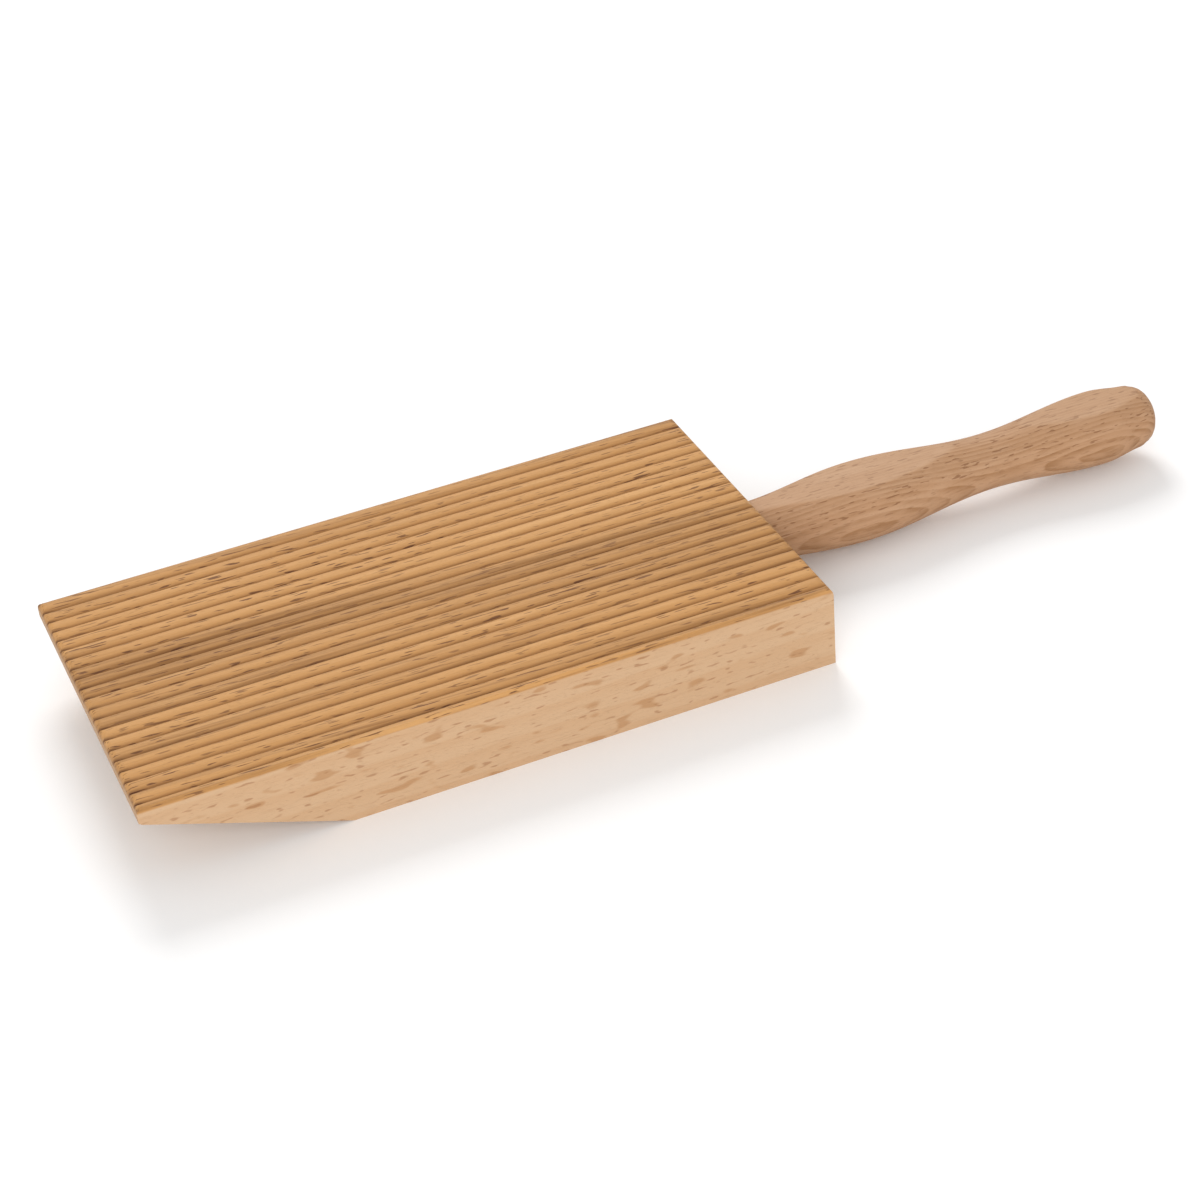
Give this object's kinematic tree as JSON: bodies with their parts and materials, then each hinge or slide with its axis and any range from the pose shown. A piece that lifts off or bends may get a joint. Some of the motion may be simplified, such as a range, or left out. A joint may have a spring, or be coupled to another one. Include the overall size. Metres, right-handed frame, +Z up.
{
  "type": "gnocchi board",
  "caption": "Rectangular hardwood board with lengthwise rounded ridges and a bevelled nose, for rolling gnocchi, with a shaped wooden handle tenoned into its rear end.",
  "frame": {"origin": "middle of the ridged block's length and width, on its flat underside", "axes": "+X from the bevelled nose to the handle, +Y to the far side, +Z up out of the ridged top"},
  "size_m": [0.336, 0.105, 0.026],
  "materials": {
    "board_wood": "planed and sanded bare beech",
    "handle_wood": "turned and sanded bare beech"
  },
  "bodies": {
    "root": {"board": "board_wood", "handle": "handle_wood"}
  },
  "joints": []
}
